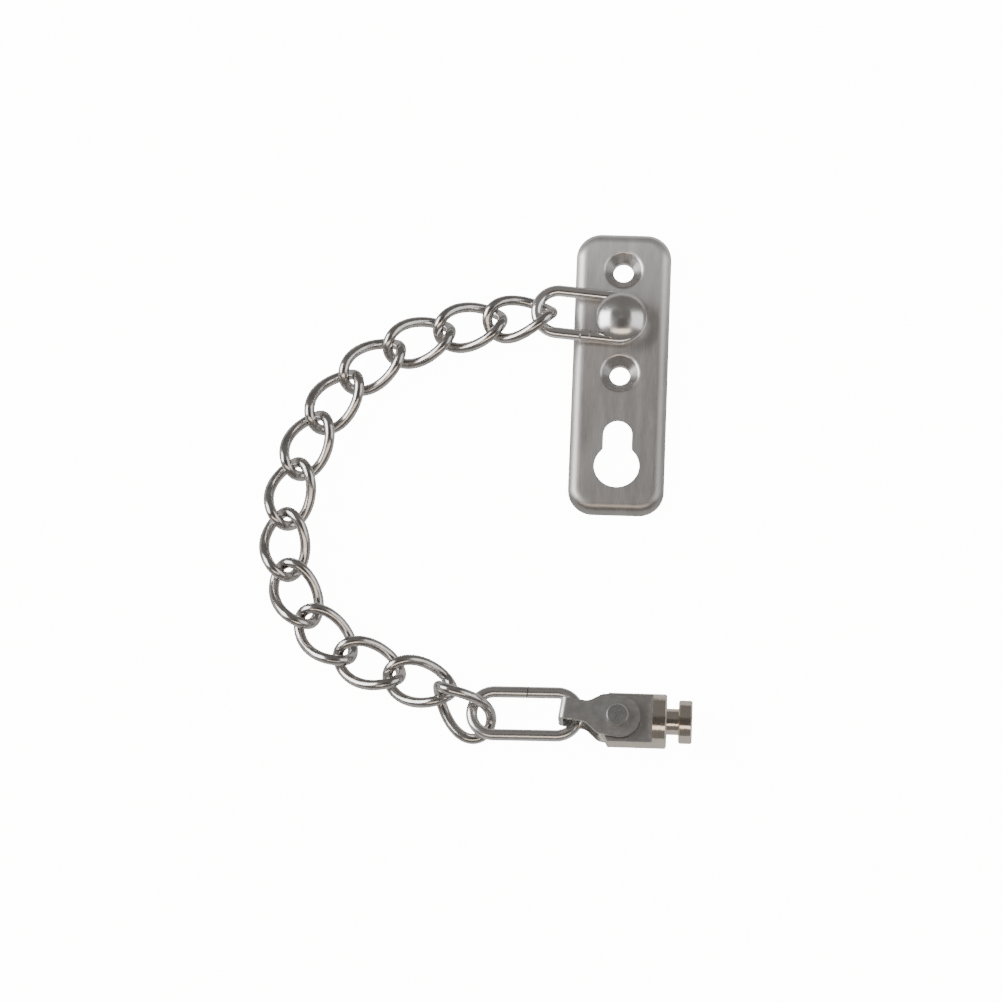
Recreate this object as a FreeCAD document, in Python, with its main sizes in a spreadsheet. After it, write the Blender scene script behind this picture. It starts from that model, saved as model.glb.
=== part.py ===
import FreeCAD, Part
import math
import os

import Sketcher
from FreeCAD import Placement, Rotation, Vector

doc = FreeCAD.newDocument("door_chain_guard")

# ---------------------------------------------------------------------------
# Driving dimensions, in millimetres and degrees.
#
# The origin is on the back plane of the base plate, midway between its two
# screw holes, on the axis of the dome rivet. +Z leaves the front of the plate,
# +Y runs along it towards the rounded end beyond the rivet, +X is to the right.
# The chain lies on the plane z = 0, to the left of and below the plate.
# ---------------------------------------------------------------------------
DIMENSIONS = {
    # base plate, a pressed tray
    "plate_length": 71.5,
    "plate_width": 23.4,
    "plate_height": 4.0,
    "plate_corner": 6.2,
    "plate_round": 2.8,
    "sheet": 1.2,
    "plate_top": 23.0,
    "screw_spacing": 26.5,
    "screw_hole": 5.0,
    "seat_top": 9.4,
    "seat_round": 1.0,
    "seat_collar": 6.4,
    "keyhole_y": -36.8,
    "keyhole_dia": 11.0,
    "slot_y": -28.8,
    "slot_width": 7.0,
    "slot_round": 1.0,
    # dome rivet
    "tenon_dia": 5.0,
    "shank_dia": 6.0,
    "tail_dia": 7.2,
    "tail_height": 0.9,
    "dome_dia": 12.1,
    "dome_under": 7.5,
    "dome_rim": 0.4,
    "dome_top": 10.4,
    # long flat link held by the dome rivet
    "plate_link_length": 28.6,
    "plate_link_width": 13.6,
    "plate_link_wire": 2.8,
    "weld_dia": 3.1,
    "weld_length": 3.6,
    "weld_offset": 0.3,
    # curb chain
    "chain_wire": 2.6,
    "chain_length": 18.8,
    "chain_width": 12.6,
    "chain_twist": 96.0,
    "chain_fullness": 0.25,
    "chain_pitch": 13.05,
    "chain_height": 3.55,
    # long flat link between the chain and the strap
    "end_link_length": 28.6,
    "end_link_width": 13.6,
    "end_link_wire": 2.8,
    "end_link_slit": 0.25,
    "end_link_lean": 0.9,
    # folded strap
    "strap_reach": 14.0,
    "strap_gap": 7.4,
    "strap_neck": 5.0,
    "strap_neck_end": 6.6,
    "strap_width": 9.8,
    "strap_flare_end": 9.9,
    "strap_flare_round": 3.0,
    "strap_nose": 5.45,
    "strap_bend": 1.5,
    "strap_hole": 4.0,
    # rivet through the strap
    "pin_dia": 4.0,
    "pin_head": 5.2,
    "pin_head_height": 1.7,
    "pin_tail_height": 0.8,
    "pin_chamfer": 0.25,
    # turned stud
    "stud_bar": 13.1,
    "stud_flat": 6.0,
    "stud_tail": 4.4,
    "stud_cone": 2.1,
    "stud_tail_dia": 5.7,
    "stud_face": 8.4,
    "stud_flange": 3.3,
    "stud_neck": 2.8,
    "stud_neck_dia": 6.3,
    "stud_head": 3.3,
    "stud_head_dia": 10.4,
    "stud_chamfer": 0.35,
    "stud_hole": 4.1,
}

sheet = doc.addObject("Spreadsheet::Sheet", "Dims")
for row, (name, value) in enumerate(DIMENSIONS.items(), start=1):
    sheet.set(f"A{row}", name)
    sheet.set(f"B{row}", str(value))
    sheet.setAlias(f"B{row}", name)
doc.recompute()


class Size:
    """A length with its value and the expression that gives it from the sheet."""

    def __init__(self, text, value):
        self.text = text
        self.value = value

    def __add__(self, other):
        other = as_size(other)
        return Size(f"({self.text} + {other.text})", self.value + other.value)

    def __sub__(self, other):
        other = as_size(other)
        return Size(f"({self.text} - {other.text})", self.value - other.value)

    def __mul__(self, factor):
        return Size(f"({self.text} * {factor})", self.value * factor)

    def __truediv__(self, factor):
        return Size(f"({self.text} / {factor})", self.value / factor)

    def __neg__(self):
        return Size(f"(0 - {self.text})", -self.value)


def as_size(length):
    """A plain number as a Size; a Size as it is."""
    return length if isinstance(length, Size) else Size(str(float(length)), float(length))


def size(name):
    """The Size of one cell of the sheet."""
    return Size(f"Dims.{name}", sheet.get(name))


# ---------------------------------------------------------------------------
# Helpers for bodies and sketches
# ---------------------------------------------------------------------------
def new_body(name):
    body = doc.addObject("PartDesign::Body", name)
    body.Label = name
    return body


def new_sketch(body, name, plane="XY_Plane", shift=None):
    """A sketch on one of the body's origin planes, shift along its normal."""
    sketch = body.newObject("Sketcher::SketchObject", name)
    origin = [f for f in body.Origin.OriginFeatures if f.Role == plane]
    sketch.AttachmentSupport = [(origin[0], "")]
    sketch.MapMode = "FlatFace"
    if shift is not None:
        sketch.AttachmentOffset = Placement(Vector(0, 0, shift.value), Rotation())
        sketch.setExpression("AttachmentOffset.Base.z", shift.text)
    return sketch


def bind(sketch, constraint, length):
    """Adds a constraint whose value the sheet drives."""
    index = sketch.addConstraint(constraint)
    sketch.setExpression(f"Constraints[{index}]", as_size(length).text)


def pin_point(sketch, geometry, point, x, y):
    """Fixes a point of the sketch at x, y from its origin."""
    x, y = as_size(x), as_size(y)
    for kind, on_axis, length in (("DistanceX", -2, x), ("DistanceY", -1, y)):
        if length.value == 0:
            sketch.addConstraint(Sketcher.Constraint("PointOnObject", geometry, point, on_axis))
        else:
            rule = Sketcher.Constraint(kind, -1, 1, geometry, point, length.value)
            bind(sketch, rule, length)


def draw_polygon(sketch, corners):
    """A closed outline of straight lines through the corners."""
    points = [Vector(as_size(x).value, as_size(y).value, 0) for x, y in corners]
    lines = []
    for here, there in zip(points, points[1:] + points[:1]):
        lines.append(sketch.addGeometry(Part.LineSegment(here, there), False))
    for line, following in zip(lines, lines[1:] + lines[:1]):
        sketch.addConstraint(Sketcher.Constraint("Coincident", line, 2, following, 1))
    for line, (x, y) in zip(lines, corners):
        pin_point(sketch, line, 1, x, y)
    return lines


def draw_circle(sketch, x, y, diameter):
    x, y, radius = as_size(x), as_size(y), diameter / 2
    shape = Part.Circle(Vector(x.value, y.value, 0), Vector(0, 0, 1), radius.value)
    circle = sketch.addGeometry(shape, False)
    pin_point(sketch, circle, 3, x, y)
    bind(sketch, Sketcher.Constraint("Radius", circle, radius.value), radius)
    return circle


def draw_rounded_box(sketch, half_width, bottom, top, corner):
    """An upright rectangle about the Y axis with rounded corners."""
    x, low, high, r = half_width.value, bottom.value, top.value, corner.value
    ends = [
        ((-half_width + corner, bottom), (half_width - corner, bottom)),
        ((half_width, bottom + corner), (half_width, top - corner)),
        ((half_width - corner, top), (-half_width + corner, top)),
        ((-half_width, top - corner), (-half_width, bottom + corner)),
    ]
    sides = []
    for start, end in ends:
        points = [Vector(px.value, py.value, 0) for px, py in (start, end)]
        sides.append(sketch.addGeometry(Part.LineSegment(*points), False))
    centres = [(x - r, low + r), (x - r, high - r), (r - x, high - r), (r - x, low + r)]
    for number, (cx, cy) in enumerate(centres):
        circle = Part.Circle(Vector(cx, cy, 0), Vector(0, 0, 1), r)
        start = (number - 1) * math.pi / 2
        arc = sketch.addGeometry(Part.ArcOfCircle(circle, start, start + math.pi / 2), False)
        before, after = sides[number], sides[(number + 1) % 4]
        sketch.addConstraint(Sketcher.Constraint("Tangent", before, 2, arc, 1))
        sketch.addConstraint(Sketcher.Constraint("Coincident", arc, 2, after, 1))
    for side, (start, end) in zip(sides, ends):
        pin_point(sketch, side, 1, *start)
        pin_point(sketch, side, 2, *end)


def draw_stadium(sketch, half_length, half_width):
    """A closed track along X: two straight sides and two half circles."""
    run = half_length - half_width
    a, b = run.value, half_width.value
    top = sketch.addGeometry(Part.LineSegment(Vector(-a, b, 0), Vector(a, b, 0)), False)
    right_circle = Part.Circle(Vector(a, 0, 0), Vector(0, 0, 1), b)
    right = sketch.addGeometry(Part.ArcOfCircle(right_circle, -math.pi / 2, math.pi / 2), False)
    bottom = sketch.addGeometry(Part.LineSegment(Vector(a, -b, 0), Vector(-a, -b, 0)), False)
    left_circle = Part.Circle(Vector(-a, 0, 0), Vector(0, 0, 1), b)
    left = sketch.addGeometry(Part.ArcOfCircle(left_circle, math.pi / 2, 1.5 * math.pi), False)
    for kind, first, end, second, start in (
        ("Tangent", top, 2, right, 2),
        ("Coincident", right, 1, bottom, 1),
        ("Tangent", bottom, 2, left, 2),
        ("Coincident", left, 1, top, 1),
    ):
        sketch.addConstraint(Sketcher.Constraint(kind, first, end, second, start))
    pin_point(sketch, top, 1, -run, half_width)
    pin_point(sketch, top, 2, run, half_width)
    pin_point(sketch, bottom, 1, run, -half_width)
    pin_point(sketch, bottom, 2, -run, -half_width)


def pad(body, name, sketch, length, midplane=False):
    feature = body.newObject("PartDesign::Pad", name)
    feature.Profile = sketch
    feature.Midplane = midplane
    feature.setExpression("Length", as_size(length).text)
    doc.recompute()
    return feature


def pocket(body, name, sketch, length, upward=False, midplane=False):
    """Cuts the sketch into the body and checks that something was cut."""
    before = body.Tip.Shape.Volume
    feature = body.newObject("PartDesign::Pocket", name)
    feature.Profile = sketch
    feature.Midplane = midplane
    feature.Reversed = upward
    feature.setExpression("Length", as_size(length).text)
    doc.recompute()
    if not feature.Shape.Volume < before - 1e-6:
        raise RuntimeError(f"{name} cuts nothing")
    return feature


def revolve(body, name, sketch, axis, kind="PartDesign::Revolution"):
    feature = body.newObject(kind, name)
    feature.Profile = sketch
    feature.ReferenceAxis = (sketch, [axis])
    feature.Angle = 360
    doc.recompute()
    return feature


def round_edges(body, name, length, chosen, kind="PartDesign::Fillet"):
    """Fillets or chamfers the edges of the body's tip for which chosen is true."""
    base = body.Tip
    edges = [f"Edge{i}" for i, edge in enumerate(base.Shape.Edges, start=1) if chosen(edge)]
    if not edges:
        raise RuntimeError(f"{name} finds no edge")
    feature = body.newObject(kind, name)
    feature.Base = (base, edges)
    feature.setExpression("Radius" if kind.endswith("Fillet") else "Size", as_size(length).text)
    doc.recompute()
    return feature


def lies_at(edge, **place):
    """Is the whole edge at these coordinates? place gives x, y or z."""
    box = edge.BoundBox
    sides = {"x": (box.XMin, box.XMax), "y": (box.YMin, box.YMax), "z": (box.ZMin, box.ZMax)}
    return all(
        abs(sides[axis][0] - value) < 0.01 and abs(sides[axis][1] - value) < 0.01
        for axis, value in place.items()
    )


def is_upright(edge):
    box = edge.BoundBox
    return box.ZLength > 0.3 and box.XLength < 0.01 and box.YLength < 0.01


def posed(x, y, z, heading, pitch=0.0, roll=0.0):
    """A placement: roll about the long axis, then nose down by pitch, then heading."""
    return Placement(Vector(x, y, z), Rotation(heading, pitch, roll))


def at(heading, distance):
    """The point at a distance from the origin, in a direction in the XY plane."""
    angle = math.radians(heading)
    return Vector(distance * math.cos(angle), distance * math.sin(angle), 0)


# ---------------------------------------------------------------------------
# Base plate: a pressed tray with two formed screw seats and a keyhole
# ---------------------------------------------------------------------------
def make_base_plate():
    body = new_body("base_plate")
    half_width = size("plate_width") / 2
    height = size("plate_height")
    skin = size("sheet")
    top = size("plate_top")
    bottom = top - size("plate_length")
    underside = height - skin

    corner = size("plate_corner")
    outline = new_sketch(body, "PlateOutline")
    draw_rounded_box(outline, half_width, bottom, top, corner)
    pad(body, "PlateBlank", outline, height)
    front = height.value
    round_edges(body, "PlateRound", size("plate_round"), lambda e: lies_at(e, z=front))

    hollow = new_sketch(body, "PlateHollow")
    draw_rounded_box(hollow, half_width - skin, bottom + skin, top - skin, corner - skin)
    pocket(body, "PlateTray", hollow, underside, upward=True)
    ceiling = underside.value
    tray_round = size("plate_round") - skin
    round_edges(body, "TrayRound", tray_round, lambda e: lies_at(e, z=ceiling))

    # the metal of a screw seat is pressed down to a collar that meets the wood
    spacing = size("screw_spacing")
    seat = size("seat_top") / 2
    hole = size("screw_hole") / 2
    collar = size("seat_collar") / 2
    wall = skin * math.sqrt(2)
    slope = height - seat
    upper = spacing / 2
    for name, y in (("Upper", upper), ("Lower", -upper)):
        boss = new_sketch(body, f"{name}SeatBoss", "YZ_Plane")
        rim = underside + 0.1
        corners = [
            (y, 0),
            (y + collar, 0),
            (y + collar, collar + slope - wall),
            (y + (rim - slope + wall), rim),
            (y, rim),
        ]
        draw_polygon(boss, corners)
        revolve_about_line(body, f"{name}Seat", boss, y)
        cut = new_sketch(body, f"{name}SeatCut", "YZ_Plane")
        corners = [
            (y, -skin),
            (y + hole, -skin),
            (y + hole, hole + slope),
            (y + seat, height),
            (y, height),
        ]
        draw_polygon(cut, corners)
        revolve_about_line(body, f"{name}SeatHole", cut, y, "PartDesign::Groove")
    mouth = seat.value
    round_edges(
        body,
        "SeatRound",
        size("seat_round"),
        lambda e: lies_at(e, z=front) and abs(e.BoundBox.XMax - mouth) < 0.01,
    )

    tenon = new_sketch(body, "TenonHole")
    draw_circle(tenon, 0, 0, size("tenon_dia"))
    pocket(body, "TenonBore", tenon, height, upward=True)

    big = new_sketch(body, "KeyholeCircle")
    draw_circle(big, 0, size("keyhole_y"), size("keyhole_dia"))
    pocket(body, "KeyholeBore", big, height, upward=True)
    slot = new_sketch(body, "KeyholeSlot")
    half_slot = size("slot_width") / 2
    corners = [
        (-half_slot, size("keyhole_y")),
        (half_slot, size("keyhole_y")),
        (half_slot, size("slot_y")),
        (-half_slot, size("slot_y")),
    ]
    draw_polygon(slot, corners)
    pocket(body, "KeyholeSides", slot, height, upward=True)
    end = new_sketch(body, "KeyholeEnd")
    draw_circle(end, 0, size("slot_y"), size("slot_width"))
    pocket(body, "KeyholeTop", end, height, upward=True)
    side = half_slot.value
    waist = size("keyhole_y").value + math.sqrt(size("keyhole_dia").value ** 2 / 4 - side**2)
    round_edges(
        body,
        "KeyholeWaist",
        size("slot_round"),
        lambda e: is_upright(e)
        and abs(abs(e.BoundBox.XMin) - side) < 0.01
        and abs(e.BoundBox.YMin - waist) < 0.01,
    )
    return body


def revolve_about_line(body, name, sketch, x, kind="PartDesign::Revolution"):
    """Revolves a sketch about its own upright construction line at x."""
    x = as_size(x)
    ends = Vector(x.value, 0, 0), Vector(x.value, 10, 0)
    line = sketch.addGeometry(Part.LineSegment(*ends), True)
    pin_point(sketch, line, 1, x, 0)
    pin_point(sketch, line, 2, x, 10)
    before = body.Tip.Shape.Volume
    feature = revolve(body, name, sketch, "Axis0", kind)
    grown = feature.Shape.Volume - before
    if abs(grown) < 1e-6 or (grown > 0) == kind.endswith("Groove"):
        raise RuntimeError(f"{name} changes nothing")
    return feature


# ---------------------------------------------------------------------------
# Dome rivet: shouldered shank, tenon peened over behind the sheet
# ---------------------------------------------------------------------------
def make_dome_rivet():
    body = new_body("dome_rivet")
    front = size("plate_height")
    back = front - size("sheet")
    tail = back - size("tail_height")
    head = size("dome_dia") / 2
    under = size("dome_under")
    rim = under + size("dome_rim")
    crown = size("dome_top")
    profile = new_sketch(body, "RivetProfile", "XZ_Plane")
    corners = [
        (0, tail),
        (size("tail_dia") / 2, tail),
        (size("tail_dia") / 2, back),
        (size("tenon_dia") / 2, back),
        (size("tenon_dia") / 2, front),
        (size("shank_dia") / 2, front),
        (size("shank_dia") / 2, under),
        (head, under),
        (head, rim),
        (0, crown),
    ]
    points = [Vector(as_size(x).value, as_size(y).value, 0) for x, y in corners]
    lines = []
    for here, there in zip(points[:-2], points[1:-1]):
        lines.append(profile.addGeometry(Part.LineSegment(here, there), False))
    rise = crown.value - rim.value
    radius = (head.value**2 + rise**2) / (2 * rise)
    centre = Vector(0, crown.value - radius, 0)
    start = math.atan2(rim.value - centre.y, head.value)
    circle = Part.Circle(centre, Vector(0, 0, 1), radius)
    dome = profile.addGeometry(Part.ArcOfCircle(circle, start, math.pi / 2), False)
    axis = profile.addGeometry(Part.LineSegment(points[-1], points[0]), False)
    for line, following in zip(lines, lines[1:]):
        profile.addConstraint(Sketcher.Constraint("Coincident", line, 2, following, 1))
    profile.addConstraint(Sketcher.Constraint("Coincident", lines[-1], 2, dome, 1))
    profile.addConstraint(Sketcher.Constraint("Coincident", dome, 2, axis, 1))
    profile.addConstraint(Sketcher.Constraint("Coincident", axis, 2, lines[0], 1))
    profile.addConstraint(Sketcher.Constraint("PointOnObject", dome, 3, -2))
    for line, (x, y) in zip(lines, corners):
        pin_point(profile, line, 1, x, y)
    pin_point(profile, dome, 1, head, rim)
    pin_point(profile, axis, 1, 0, crown)
    revolve(body, "RivetTurned", profile, "V_Axis")
    return body


# ---------------------------------------------------------------------------
# Long flat links bent from round wire
# ---------------------------------------------------------------------------
def make_wire_link(name, prefix):
    """A round-ended flat link, lying in the XY plane with its length along X."""
    body = new_body(name)
    wire = size(f"{prefix}_wire")
    half_length = (size(f"{prefix}_length") - wire) / 2
    half_width = (size(f"{prefix}_width") - wire) / 2
    path = new_sketch(body, f"{prefix}_path")
    draw_stadium(path, half_length, half_width)
    section = new_sketch(body, f"{prefix}_section", "YZ_Plane", -(half_length - half_width))
    draw_circle(section, half_width, 0, wire)
    doc.recompute()
    pipe = body.newObject("PartDesign::AdditivePipe", f"{prefix}_pipe")
    pipe.Profile = section
    pipe.Spine = (path, ["Edge1", "Edge2", "Edge3", "Edge4"])
    doc.recompute()
    return body


def make_plate_link():
    """The link on the dome rivet, with the bead that closes its wire."""
    body = make_wire_link("plate_link", "plate_link")
    wire = size("plate_link_wire")
    side = (size("plate_link_width") - wire) / 2
    centre = size("weld_offset")
    half = size("weld_length") / 2
    bead = new_sketch(body, "WeldBead")
    corners = [
        (centre - half, side),
        (centre - half, side + wire / 2 - 0.1),
        (centre - half * 0.5, side + size("weld_dia") / 2),
        (centre + half * 0.5, side + size("weld_dia") / 2),
        (centre + half, side + wire / 2 - 0.1),
        (centre + half, side),
    ]
    draw_polygon(bead, corners)
    revolve(body, "WeldBeadTurned", bead, "Edge6")
    return body


def make_end_link():
    """The link in the strap; its wire is bent shut but not welded."""
    body = make_wire_link("end_link", "end_link")
    half = size("end_link_slit") / 2
    lean = size("end_link_lean")
    wire = size("end_link_wire")
    slit = new_sketch(body, "Slit", "XZ_Plane")
    corners = [
        (-lean - half, -wire),
        (-lean + half, -wire),
        (lean + half, wire),
        (lean - half, wire),
    ]
    draw_polygon(slit, corners)
    pocket(body, "ButtJoint", slit, size("end_link_width"))
    return body


# ---------------------------------------------------------------------------
# Curb chain link: round wire in a closed, evenly twisted oval
# ---------------------------------------------------------------------------
HALF_LINK_STEPS = 8


def curb_link_shape():
    """One link, its length along X, twisted left-handed about X.

    Half a turn of the wire is swept, and closed with the same half turned
    over about Z.
    """
    wire = size("chain_wire").value
    half_length = (size("chain_length").value - wire) / 2
    half_width = (size("chain_width").value - wire) / 2
    fullness = size("chain_fullness").value
    half_twist = math.radians(size("chain_twist").value / 2)
    turns = [math.pi * step / HALF_LINK_STEPS for step in range(HALF_LINK_STEPS + 1)]
    points = []
    for turn in turns:
        across = half_width * math.sin(turn) * (1 + fullness * math.cos(turn) ** 2)
        lean = -half_twist * math.cos(turn)
        points.append(
            Vector(
                half_length * math.cos(turn),
                across * math.cos(lean),
                across * math.sin(lean),
            )
        )
    ahead = half_width * (1 + fullness)
    along, down = ahead * math.cos(half_twist), -ahead * math.sin(half_twist)
    curve = Part.BSplineCurve()
    curve.interpolate(
        Points=points,
        Parameters=turns,
        InitialTangent=Vector(0, along, down),
        FinalTangent=Vector(0, -along, down),
        Scale=False,
    )
    section = Part.Wire(Part.makeCircle(wire / 2, points[0], Vector(0, along, down)))
    first = Part.Wire(curve.toShape()).makePipeShell([section], False, True)
    second = first.copy()
    second.rotate(Vector(0, 0, 0), Vector(0, 0, 1), 180)
    skin = Part.Shell(first.Faces + second.Faces)
    skin.sewShape()
    return Part.Solid(skin)


# headings of links 2 to 12 as the chain lies, each turned about the contact
# with the link before; the first and the last link lie tilted
FIRST_CONTACT = Vector(-17.9, 1.69, 0)
HEADINGS = [-170, -165, -158, -142, -124, -112, -100, -86, -64, -42, -21, -15]
FIRST_LINK = (-24.9, -0.2, 5.0, -172, 8, 16)
LAST_LINK = (-34.8, -99.0, 4.5, -41, 22, 42)


def chain_places():
    """The placement of every chain link, from the plate to the end link."""
    pitch = size("chain_pitch").value
    height = size("chain_height").value
    contact = FIRST_CONTACT
    places = []
    for heading in HEADINGS:
        centre = contact + at(heading, pitch / 2)
        places.append(posed(centre.x, centre.y, height, heading))
        contact = contact + at(heading, pitch)
    places[0] = posed(*FIRST_LINK)
    places.append(posed(*LAST_LINK))
    return places


def make_chain():
    shape = curb_link_shape()
    links = []
    for number, place in enumerate(chain_places(), start=1):
        name = f"chain_link_{number:02d}"
        link = doc.addObject("Part::Feature", name)
        link.Label = name
        link.Shape = shape
        link.Placement = place
        links.append(link)
    return links


# ---------------------------------------------------------------------------
# Strap: a strip folded into a U, round the end link and over the stud.
# Its own frame has the rivet axis on Z and the fold at -X.
# ---------------------------------------------------------------------------
def make_strap():
    body = new_body("strap")
    reach = size("strap_reach")
    skin = size("sheet")
    half_neck = size("strap_neck") / 2
    half_width = size("strap_width") / 2
    overall = size("strap_gap") + skin * 2
    neck_end = size("strap_neck_end") - reach
    flare_end = size("strap_flare_end") - reach
    nose_centre = size("strap_nose") - half_width
    outline = new_sketch(body, "StrapOutline")
    corners = [
        (-reach, -half_neck),
        (neck_end, -half_neck),
        (flare_end, -half_width),
        (nose_centre, -half_width),
        (nose_centre, half_width),
        (flare_end, half_width),
        (neck_end, half_neck),
        (-reach, half_neck),
    ]
    draw_polygon(outline, corners)
    pad(body, "StrapBlank", outline, overall, midplane=True)
    nose = new_sketch(body, "StrapNose")
    draw_circle(nose, nose_centre, 0, size("strap_width"))
    pad(body, "StrapNosePad", nose, overall, midplane=True)
    for name, corner in (("Neck", neck_end), ("Shoulder", flare_end)):
        x = corner.value
        round_edges(
            body,
            f"Strap{name}Round",
            size("strap_flare_round"),
            lambda e: is_upright(e) and lies_at(e, x=x),
        )
    beyond = size("strap_nose") + 1
    gap = new_sketch(body, "StrapGap", "XZ_Plane")
    half_gap = size("strap_gap") / 2
    corners = [
        (skin - reach, -half_gap),
        (beyond, -half_gap),
        (beyond, half_gap),
        (skin - reach, half_gap),
    ]
    draw_polygon(gap, corners)
    pocket(body, "StrapFold", gap, size("strap_width") * 2, midplane=True)
    fold_x = -reach.value
    round_edges(
        body,
        "StrapBend",
        size("strap_bend"),
        lambda e: lies_at(e, x=fold_x) and e.BoundBox.YLength > 1,
    )
    web_x = (skin - reach).value
    round_edges(
        body,
        "StrapBendInner",
        size("strap_bend") - skin,
        lambda e: lies_at(e, x=web_x) and e.BoundBox.YLength > 1,
    )
    holes = new_sketch(body, "StrapHoles")
    draw_circle(holes, 0, 0, size("strap_hole"))
    pocket(body, "StrapRivetHoles", holes, overall * 2, midplane=True)
    return body


def make_strap_rivet():
    """Headed pin through both legs of the strap, in the strap's frame."""
    body = new_body("strap_rivet")
    face = size("strap_gap") / 2 + size("sheet")
    shank = size("pin_dia") / 2
    head = size("pin_head") / 2
    edge = size("pin_chamfer")
    top = face + size("pin_head_height")
    foot = -(face + size("pin_tail_height"))
    profile = new_sketch(body, "PinProfile", "XZ_Plane")
    corners = [
        (0, foot),
        (head - edge, foot),
        (head, foot + edge),
        (head, -face),
        (shank, -face),
        (shank, face),
        (head, face),
        (head, top - edge),
        (head - edge, top),
        (0, top),
    ]
    draw_polygon(profile, corners)
    revolve(body, "PinTurned", profile, "V_Axis")
    return body


# ---------------------------------------------------------------------------
# Stud: turned from round bar along X, two flats milled on its tail.
# Its own frame has the rivet hole on Z.
# ---------------------------------------------------------------------------
def make_stud():
    body = new_body("stud")
    bar = size("stud_bar") / 2
    face = size("stud_face")
    flange_end = face + size("stud_flange")
    neck_end = flange_end + size("stud_neck")
    head_end = neck_end + size("stud_head")
    tail = size("stud_tail")
    edge = size("stud_chamfer")
    head = size("stud_head_dia") / 2
    profile = new_sketch(body, "StudProfile", "XZ_Plane")
    corners = [
        (-tail, 0),
        (-tail, size("stud_tail_dia") / 2),
        (size("stud_cone") - tail, bar),
        (flange_end - edge, bar),
        (flange_end, bar - edge),
        (flange_end, size("stud_neck_dia") / 2),
        (neck_end, size("stud_neck_dia") / 2),
        (neck_end, head - edge),
        (neck_end + edge, head),
        (head_end - edge, head),
        (head_end, head - edge),
        (head_end, 0),
    ]
    draw_polygon(profile, corners)
    revolve(body, "StudTurned", profile, "H_Axis")
    half_flat = size("stud_flat") / 2
    for name, near, far in (("Front", half_flat, bar + 1), ("Back", -bar - 1, -half_flat)):
        flat = new_sketch(body, f"{name}Flat", "XZ_Plane")
        draw_polygon(flat, [(-tail - 1, near), (face, near), (face, far), (-tail - 1, far)])
        pocket(body, f"{name}FlatMilled", flat, bar * 4, midplane=True)
    bore = new_sketch(body, "StudBore")
    draw_circle(bore, 0, 0, size("stud_hole"))
    pocket(body, "StudPinHole", bore, size("stud_bar") * 2, midplane=True)
    return body


# ---------------------------------------------------------------------------
# Assembly: every sub-part in its place as the guard lies at rest
# ---------------------------------------------------------------------------
PLATE_LINK_HEADING = 175
PLATE_LINK_HEIGHT = 5.75
PLATE_LINK_SLACK = 0.45
END_LINK = (-19.7, -99.6, 4.7, 0, -3, -5)
PIN_PLACE = (2.5, -100.9, 6.6)
STRAP_HEADING = -7.5
STUD_HEADING = 0

base_plate = make_base_plate()
dome_rivet = make_dome_rivet()
plate_link = make_plate_link()
chain_links = make_chain()
end_link = make_end_link()
strap = make_strap()
strap_rivet = make_strap_rivet()
stud = make_stud()

# the shank of the dome rivet stands in the right-hand end of the plate link
to_centre = size("plate_link_length").value / 2 - size("plate_link_wire").value
to_centre -= size("shank_dia").value / 2 + PLATE_LINK_SLACK
centre = at(PLATE_LINK_HEADING, to_centre)
plate_link.Placement = posed(centre.x, centre.y, PLATE_LINK_HEIGHT, PLATE_LINK_HEADING)
end_link.Placement = posed(*END_LINK)
strap.Placement = posed(*PIN_PLACE, STRAP_HEADING)
strap_rivet.Placement = posed(*PIN_PLACE, STRAP_HEADING)
stud.Placement = posed(*PIN_PLACE, STUD_HEADING)
doc.recompute()

for item in doc.Objects:
    if "Invalid" in item.State or "Error" in item.State:
        raise RuntimeError(f"{item.Name} failed: {item.State}")

pieces = [base_plate, dome_rivet, plate_link, *chain_links, end_link, strap, strap_rivet, stud]
for piece in pieces:
    if piece.Shape.isNull() or not piece.Shape.isValid():
        raise RuntimeError(f"{piece.Label} has no valid shape")
    if len(piece.Shape.Solids) != 1:
        raise RuntimeError(f"{piece.Label} has {len(piece.Shape.Solids)} solids")

os.makedirs("parts", exist_ok=True)
for piece in pieces:
    piece.Shape.exportStep(f"parts/{piece.Label}.step")
    box = piece.Shape.BoundBox
    print(
        f"{piece.Label}: volume {piece.Shape.Volume:.1f} mm3,"
        f" z {box.ZMin:.2f} to {box.ZMax:.2f}"
    )
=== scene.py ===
import math

import bpy
from mathutils import Matrix, Vector

MM = 0.001

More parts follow.
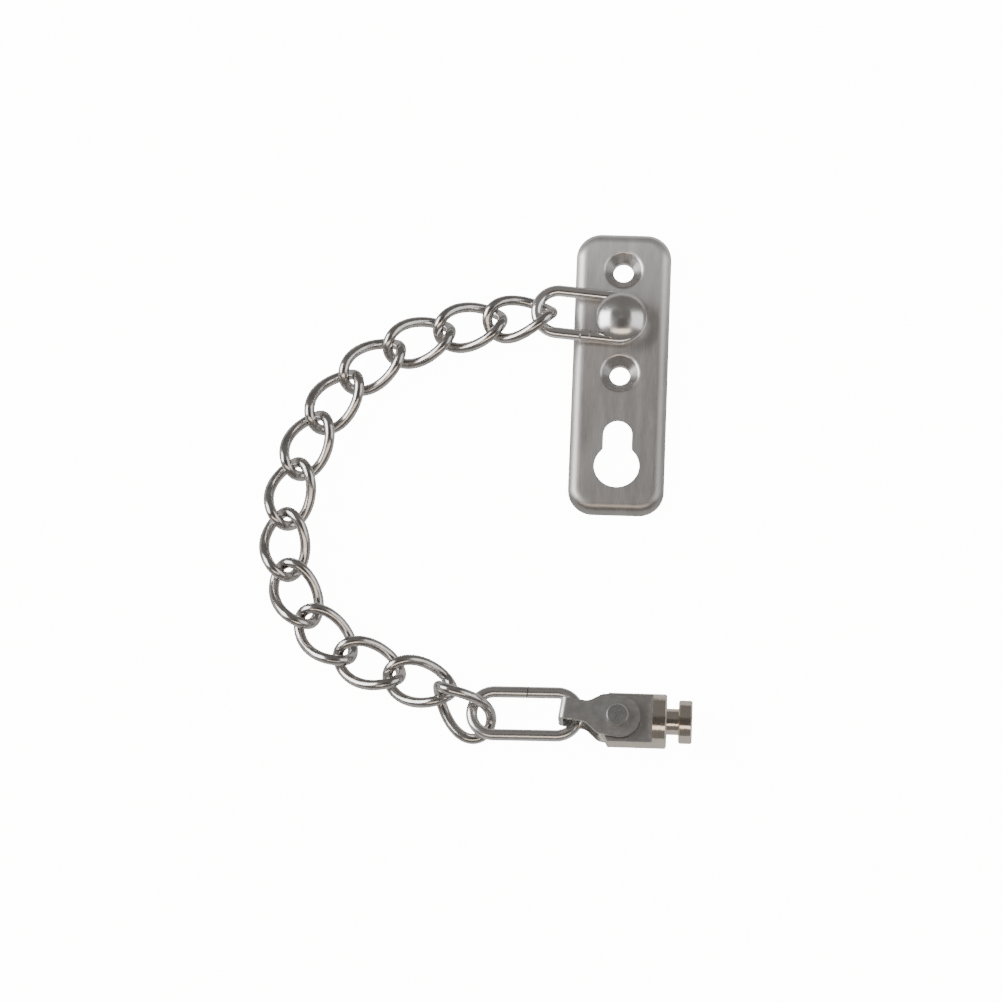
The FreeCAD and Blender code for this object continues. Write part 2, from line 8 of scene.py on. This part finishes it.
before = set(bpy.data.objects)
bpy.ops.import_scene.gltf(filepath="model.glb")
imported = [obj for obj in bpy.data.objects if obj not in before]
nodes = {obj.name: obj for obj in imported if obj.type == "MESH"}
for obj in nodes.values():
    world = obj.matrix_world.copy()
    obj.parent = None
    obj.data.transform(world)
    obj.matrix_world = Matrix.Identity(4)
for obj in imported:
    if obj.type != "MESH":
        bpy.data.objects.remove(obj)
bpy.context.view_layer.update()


# ---------------------------------------------------------------------------
# Node helpers
# ---------------------------------------------------------------------------
class Tree:
    """A material's node tree, built one node at a time."""

    def __init__(self, name):
        self.material = bpy.data.materials.new(name)
        self.material.use_nodes = True
        self.nodes = self.material.node_tree.nodes
        self.links = self.material.node_tree.links
        self.nodes.clear()
        self.output = self.nodes.new("ShaderNodeOutputMaterial")
        self.shader = self.nodes.new("ShaderNodeBsdfPrincipled")
        self.links.new(self.shader.outputs["BSDF"], self.output.inputs["Surface"])

    def coordinates(self, scale=(1.0, 1.0, 1.0), turn=(0.0, 0.0, 0.0)):
        """Object coordinates in millimetres, turned and then stretched."""
        source = self.nodes.new("ShaderNodeTexCoord")
        turned = self.nodes.new("ShaderNodeMapping")
        turned.inputs["Rotation"].default_value = [math.radians(a) for a in turn]
        stretched = self.nodes.new("ShaderNodeMapping")
        stretched.inputs["Scale"].default_value = [s / MM for s in scale]
        self.links.new(source.outputs["Object"], turned.inputs["Vector"])
        self.links.new(turned.outputs["Vector"], stretched.inputs["Vector"])
        return stretched.outputs["Vector"]

    def noise(self, vector, scale=1.0, detail=3.0, roughness=0.5):
        node = self.nodes.new("ShaderNodeTexNoise")
        node.inputs["Scale"].default_value = scale
        node.inputs["Detail"].default_value = detail
        node.inputs["Roughness"].default_value = roughness
        self.links.new(vector, node.inputs["Vector"])
        return node.outputs["Fac"]

    def spread(self, value, low, high, start=0.3, end=0.7):
        """Maps value from start..end to low..high."""
        node = self.nodes.new("ShaderNodeMapRange")
        node.inputs["From Min"].default_value = start
        node.inputs["From Max"].default_value = end
        node.inputs["To Min"].default_value = low
        node.inputs["To Max"].default_value = high
        self.links.new(value, node.inputs["Value"])
        return node.outputs["Result"]

    def mix(self, factor, first, second):
        node = self.nodes.new("ShaderNodeMix")
        node.data_type = "RGBA"
        for socket, value in (("A", first), ("B", second)):
            target = [s for s in node.inputs if s.name == socket and s.type == "RGBA"][0]
            if isinstance(value, tuple):
                target.default_value = (*value, 1.0)
            else:
                self.links.new(value, target)
        self.links.new(factor, node.inputs["Factor"])
        return [s for s in node.outputs if s.type == "RGBA"][0]

    def arithmetic(self, operation, first, second):
        node = self.nodes.new("ShaderNodeMath")
        node.operation = operation
        for index, value in enumerate((first, second)):
            if isinstance(value, (int, float)):
                node.inputs[index].default_value = value
            else:
                self.links.new(value, node.inputs[index])
        return node.outputs["Value"]

    def split(self, vector):
        """The X, Y and Z parts of a vector."""
        node = self.nodes.new("ShaderNodeSeparateXYZ")
        self.links.new(vector, node.inputs["Vector"])
        return [node.outputs[axis] for axis in "XYZ"]

    def distance(self, value, place):
        """How far value is from place, whichever side it is on."""
        return self.arithmetic("ABSOLUTE", self.arithmetic("SUBTRACT", value, place), 0.0)

    def bump(self, height, depth, normal=None):
        """A bump whose full height is depth millimetres."""
        node = self.nodes.new("ShaderNodeBump")
        node.inputs["Strength"].default_value = 1.0
        node.inputs["Distance"].default_value = depth * MM
        self.links.new(height, node.inputs["Height"])
        if normal is not None:
            self.links.new(normal, node.inputs["Normal"])
        return node.outputs["Normal"]

    def plug(self, name, value):
        socket = self.shader.inputs[name]
        if isinstance(value, (int, float)):
            socket.default_value = value
        elif isinstance(value, tuple):
            socket.default_value = (*value, 1.0)
        else:
            self.links.new(value, socket)

    def tangent(self, direction):
        """The direction in which a brushed finish stretches highlights."""
        node = self.nodes.new("ShaderNodeCombineXYZ")
        for axis, value in zip("XYZ", direction):
            node.inputs[axis].default_value = value
        self.links.new(node.outputs["Vector"], self.shader.inputs["Tangent"])


def polished(name, tint, dark, rough):
    """Tumbled and polished steel wire: slightly wavy, finely scratched."""
    tree = Tree(name)
    place = tree.coordinates()
    cloud = tree.noise(place, 0.45, 3.0)
    fine = tree.noise(place, 3.2, 4.0, 0.6)
    hair = tree.noise(tree.coordinates((14.0, 14.0, 1.2), (35.0, 20.0, 50.0)), 1.0, 2.0)
    tree.plug("Metallic", 1.0)
    tree.plug("Base Color", tree.mix(tree.spread(cloud, 0.0, 1.0), dark, tint))
    tree.plug("Roughness", tree.spread(fine, *rough))
    wavy = tree.bump(cloud, 0.004)
    tree.plug("Normal", tree.bump(hair, 0.0008, wavy))
    return tree.material


# Places on the plate, in millimetres: the length over which painted light
# brightens its colour towards the upper end, and the screw seats on either side of the dome
# rivet.
PLATE_SPAN = (-44.0, 20.0)
SEAT_OFFSET = 13.25
SEAT_RADIUS = 4.75


def brushed_plate():
    """Stainless sheet brushed along the plate, with painted shade at its lower end and
    painted light brightening it towards its upper end.

    The two countersunk seats are a little smoother and of one colour.
    """
    tree = Tree("brushed_plate")
    grain = tree.noise(tree.coordinates((9.0, 0.22, 9.0)), 1.0, 5.0, 0.7)
    cloud = tree.noise(tree.coordinates((0.35, 0.06, 0.35)), 1.0, 3.0)
    shade = tree.arithmetic("MULTIPLY", grain, 0.6)
    shade = tree.arithmetic("ADD", shade, tree.arithmetic("MULTIPLY", cloud, 0.4))
    x, y, _ = tree.split(tree.coordinates())
    # Painted light: how far up the plate, raised to a power, sets how much brighter its
    # colour is painted.
    painted_light_along = tree.arithmetic("POWER", tree.spread(y, 0.0, 1.0, *PLATE_SPAN), 3.0)
    from_seat = tree.arithmetic("SUBTRACT", tree.distance(y, 0.0), SEAT_OFFSET)
    lengthwise = tree.arithmetic("MULTIPLY", from_seat, from_seat)
    across = tree.arithmetic("MULTIPLY", x, x)
    square = tree.arithmetic("ADD", lengthwise, across)
    in_seat = tree.arithmetic("LESS_THAN", square, SEAT_RADIUS**2)
    streak = tree.spread(shade, 0.0, 1.0, 0.35, 0.65)
    # The brushed grain's colour in painted shade at the lower end and in painted light at the
    # upper end.
    grain_in_painted_shade = tree.mix(streak, (0.37, 0.352, 0.342), (0.53, 0.51, 0.496))
    grain_in_painted_light = tree.mix(streak, (0.82, 0.805, 0.795), (0.96, 0.95, 0.94))
    sheet = tree.mix(painted_light_along, grain_in_painted_shade, grain_in_painted_light)
    turned = tree.mix(streak, (0.56, 0.55, 0.54), (0.66, 0.65, 0.64))
    tree.plug("Metallic", 1.0)
    tree.plug("Base Color", tree.mix(in_seat, sheet, turned))
    rough = tree.spread(shade, 0.38, 0.46, 0.35, 0.65)
    smoother = tree.arithmetic("MULTIPLY", in_seat, 0.1)
    tree.plug("Roughness", tree.arithmetic("SUBTRACT", rough, smoother))
    tree.plug("Anisotropic", 0.5)
    across_grain = (1.0, 0.0, 0.0)
    tree.tangent(across_grain)
    tree.plug("Normal", tree.bump(grain, 0.004))
    return tree.material


def turned_dome():
    """Rivet head polished on the lathe, its marks running round the axis."""
    tree = Tree("turned_dome")
    place = tree.coordinates()
    cloud = tree.noise(place, 0.5, 3.0)
    fine = tree.noise(place, 4.0, 4.0, 0.6)
    tree.plug("Metallic", 1.0)
    tree.plug("Base Color", tree.mix(cloud, (0.68, 0.67, 0.66), (0.78, 0.77, 0.76)))
    tree.plug("Roughness", tree.spread(fine, 0.18, 0.26))
    tree.plug("Anisotropic", 0.6)
    ring = tree.nodes.new("ShaderNodeTangent")
    ring.direction_type = "RADIAL"
    ring.axis = "Z"
    tree.links.new(ring.outputs["Tangent"], tree.shader.inputs["Tangent"])
    tree.plug("Normal", tree.bump(cloud, 0.01))
    return tree.material


def satin(name, dark, pale, rough, grain_turn):
    """Satin steel with short random scratches."""
    tree = Tree(name)
    hair = tree.noise(tree.coordinates((9.0, 0.5, 9.0), grain_turn), 1.0, 4.0, 0.6)
    cloud = tree.noise(tree.coordinates(), 0.5, 3.0)
    tree.plug("Metallic", 1.0)
    tree.plug("Base Color", tree.mix(tree.spread(cloud, 0.0, 1.0), dark, pale))
    tree.plug("Roughness", tree.spread(hair, *rough))
    tree.plug("Normal", tree.bump(hair, 0.002))
    return tree.material


# The end link's slit, in millimetres: its place along X, the Y beyond which
# lies the wire it cuts, and how far from its place its leaning faces reach.
SLIT_PLACE = -19.7
SLIT_WIRE = -97.0
SLIT_REACH = 1.5


def slit_steel():
    """Satin steel of the end link, with painted shade, near black, on the two faces of its
    slit.
    """
    tree = Tree("end_link_metal")
    place = tree.coordinates()
    hair = tree.noise(tree.coordinates((9.0, 0.5, 9.0), (0, 0, 90)), 1.0, 4.0, 0.6)
    cloud = tree.noise(place, 0.5, 3.0)
    x, y, _ = tree.split(place)
    source = tree.nodes.new("ShaderNodeTexCoord")
    facing, _, _ = tree.split(source.outputs["Normal"])
    end_face = tree.arithmetic("GREATER_THAN", tree.distance(facing, 0.0), 0.6)
    near = tree.arithmetic("LESS_THAN", tree.distance(x, SLIT_PLACE), SLIT_REACH)
    beyond = tree.arithmetic("GREATER_THAN", y, SLIT_WIRE)
    in_slit = tree.arithmetic("MULTIPLY", tree.arithmetic("MULTIPLY", end_face, near), beyond)
    steel = tree.mix(tree.spread(cloud, 0.0, 1.0), (0.7, 0.69, 0.68), (0.8, 0.79, 0.78))
    # Painted shade: the slit's two faces are painted near black, as the shadow inside the
    # slit.
    painted_slit_shade = tree.mix(cloud, (0.03, 0.028, 0.026), (0.05, 0.046, 0.042))
    tree.plug("Metallic", 1.0)
    tree.plug("Base Color", tree.mix(in_slit, steel, painted_slit_shade))
    tree.plug("Roughness", tree.spread(hair, 0.18, 0.28))
    tree.plug("Normal", tree.bump(hair, 0.0006))
    return tree.material


# The stud, in millimetres: the height of its axis, the height above that
# where the milled flats begin, and where its flange starts along X.
STUD_AXIS = 6.6
FLAT_HALF = 2.97
FLANGE_START = 10.88


def turned_nickel():
    """Nickel-plated turning: mirror all round, satin on the two milled flats."""
    tree = Tree("turned_nickel")
    place = tree.coordinates()
    x, _, z = tree.split(place)
    on_flat = tree.arithmetic("GREATER_THAN", tree.distance(z, STUD_AXIS), FLAT_HALF)
    on_tail = tree.arithmetic("LESS_THAN", x, FLANGE_START)
    milled = tree.arithmetic("MULTIPLY", on_flat, on_tail)
    cloud = tree.noise(place, 0.4, 3.0)
    rings = tree.noise(tree.coordinates((7.0, 0.15, 0.15)), 1.0, 3.0)
    hair = tree.noise(tree.coordinates((0.6, 9.0, 9.0), (0, 0, 25)), 1.0, 4.0, 0.6)
    mirror = tree.mix(cloud, (0.72, 0.65, 0.57), (0.86, 0.79, 0.71))
    satin_flat = tree.mix(hair, (0.46, 0.455, 0.45), (0.58, 0.575, 0.57))
    tree.plug("Metallic", 1.0)
    tree.plug("Base Color", tree.mix(milled, mirror, satin_flat))
    smooth = tree.spread(rings, 0.1, 0.18)
    dull = tree.spread(hair, 0.32, 0.42)
    change = tree.arithmetic("MULTIPLY", tree.arithmetic("SUBTRACT", dull, smooth), milled)
    tree.plug("Roughness", tree.arithmetic("ADD", smooth, change))
    ripple = tree.noise(place, 1.6, 3.0, 0.6)
    tree.plug("Normal", tree.bump(ripple, 0.015, tree.bump(cloud, 0.004)))
    return tree.material


# ---------------------------------------------------------------------------
# Finishes
# ---------------------------------------------------------------------------
plate_link_metal = polished(
    "plate_link_metal", (0.97, 0.96, 0.95), (0.9, 0.89, 0.88), (0.08, 0.2)
)
chain_metal = polished("chain_metal", (0.67, 0.65, 0.635), (0.45, 0.435, 0.42), (0.12, 0.24))
strap_metal = satin(
    "strap_metal", (0.5, 0.495, 0.49), (0.62, 0.615, 0.61), (0.3, 0.42), (0, 0, 85)
)
rivet_metal = satin(
    "rivet_metal", (0.5, 0.5, 0.5), (0.6, 0.6, 0.6), (0.25, 0.35), (0, 0, 30)
)

finishes = {
    "base_plate": brushed_plate(),
    "dome_rivet": turned_dome(),
    "plate_link": plate_link_metal,
    "end_link": slit_steel(),
    "strap": strap_metal,
    "strap_rivet": rivet_metal,
    "stud": turned_nickel(),
}
for name, node in nodes.items():
    node.data.materials.clear()
    node.data.materials.append(finishes.get(name, chain_metal))


# ---------------------------------------------------------------------------
# Floor, light and camera
# ---------------------------------------------------------------------------
SHEET_HALF = 6.0
TABLE_DROP = 0.05 * MM


def make_sheet(name, height, albedo, glow):
    """A wide level sheet of paper, glowing with the light that falls on it."""
    mesh = bpy.data.meshes.new(name)
    corners = [(-1, -1), (1, -1), (1, 1), (-1, 1)]
    points = [(x * SHEET_HALF, y * SHEET_HALF, height) for x, y in corners]
    mesh.from_pydata(points, [], [(0, 1, 2, 3)])
    sheet = bpy.data.objects.new(name, mesh)
    bpy.context.scene.collection.objects.link(sheet)
    tree = Tree(name + "_paper")
    cloud = tree.noise(tree.coordinates(), 0.01, 2.0)
    pale = tuple([albedo * 1.02] * 3)
    tree.plug("Base Color", tree.mix(cloud, tuple([albedo] * 3), pale))
    tree.plug("Roughness", 0.9)
    tree.plug("Specular IOR Level", 0.0)
    tree.plug("Emission Color", (1.0, 0.985, 0.97))
    tree.plug("Emission Strength", glow)
    mesh.materials.append(tree.material)
    return sheet


def make_floor():
    """The white ground that is seen, and the greyer table that lights the metal."""
    ground = make_sheet("floor", 0.0, 0.93, 14.0)
    ground.visible_diffuse = False
    ground.visible_glossy = False
    table = make_sheet("table", -TABLE_DROP, 0.5, 0.42)
    table.visible_camera = False


def direction(azimuth, elevation):
    """Unit vector to a place in the studio. Azimuth 0 is +Y, 90 is +X."""
    a, e = math.radians(azimuth), math.radians(elevation)
    return Vector((math.sin(a) * math.cos(e), math.cos(a) * math.cos(e), math.sin(e)))


CENTRE = Vector((-28, -45, 5)) * MM
LIGHT_DISTANCE = 1.2


def soft_box(name, azimuth, elevation, width, height, radiance, tint=(1, 1, 1)):
    """A rectangular soft light aimed at the object, of a given brightness."""
    lamp = bpy.data.lights.new(name, "AREA")
    lamp.shape = "RECTANGLE"
    lamp.size, lamp.size_y = width, height
    lamp.energy = radiance * math.pi * width * height
    lamp.color = tint
    holder = bpy.data.objects.new(name, lamp)
    bpy.context.scene.collection.objects.link(holder)
    aim = direction(azimuth, elevation)
    holder.location = CENTRE + aim * LIGHT_DISTANCE
    holder.rotation_euler = aim.to_track_quat("Z", "Y").to_euler()
    holder.visible_camera = False


make_floor()
soft_box("box_west", -83, 32, 0.9, 0.8, 7.0)
soft_box("box_east", 85, 35, 1.0, 0.9, 1.6)
soft_box("box_south", 180, 49, 1.4, 0.3, 2.4, tint=(1.0, 0.84, 0.68))

world = bpy.data.worlds.new("studio")
world.use_nodes = True
background = world.node_tree.nodes["Background"]
background.inputs["Color"].default_value = (0.98, 0.94, 0.9, 1.0)
background.inputs["Strength"].default_value = 0.2
bpy.context.scene.world = world


def make_dark_card(aim, radius, distance):
    """The dark side of the studio, round the camera."""
    mesh = bpy.data.meshes.new("dark_card")
    steps = 32
    turns = [2 * math.pi * i / steps for i in range(steps)]
    ring = [(radius * math.cos(turn), radius * math.sin(turn), 0) for turn in turns]
    mesh.from_pydata(ring, [], [tuple(range(steps))])
    card = bpy.data.objects.new("dark_card", mesh)
    bpy.context.scene.collection.objects.link(card)
    card.location = CENTRE + aim * distance
    card.rotation_euler = aim.to_track_quat("Z", "Y").to_euler()
    tree = Tree("card_cloth")
    weave = tree.noise(tree.coordinates(), 0.2, 2.0)
    tree.plug("Base Color", tree.mix(weave, (0.08, 0.075, 0.07), (0.1, 0.095, 0.09)))
    tree.plug("Roughness", 0.9)
    mesh.materials.append(tree.material)


# The photo's viewpoint: where the camera is, what it looks at, how far it is
# rolled from upright, in degrees, and its focal length in millimetres.
CAMERA_AT = Vector((24.5, -352.9, 1093.2)) * MM
CAMERA_TO = Vector((-27.7, -46.7, 4.0)) * MM
CAMERA_ROLL = 2.34
CAMERA_LENS = 167.7

camera_data = bpy.data.cameras.new("camera")
camera_data.sensor_width = 36.0
camera_data.lens = CAMERA_LENS
camera_data.clip_start = 0.01
camera = bpy.data.objects.new("camera", camera_data)
bpy.context.scene.collection.objects.link(camera)
back = (CAMERA_AT - CAMERA_TO).normalized()
roll = math.radians(CAMERA_ROLL)
right = Vector((-math.sin(roll), math.cos(roll), 0)).cross(back).normalized()
up = back.cross(right)
camera.matrix_world = Matrix(
    (
        (right.x, up.x, back.x, CAMERA_AT.x),
        (right.y, up.y, back.y, CAMERA_AT.y),
        (right.z, up.z, back.z, CAMERA_AT.z),
        (0, 0, 0, 1),
    )
)
bpy.context.scene.camera = camera
make_dark_card(back, 0.5, 1.4)
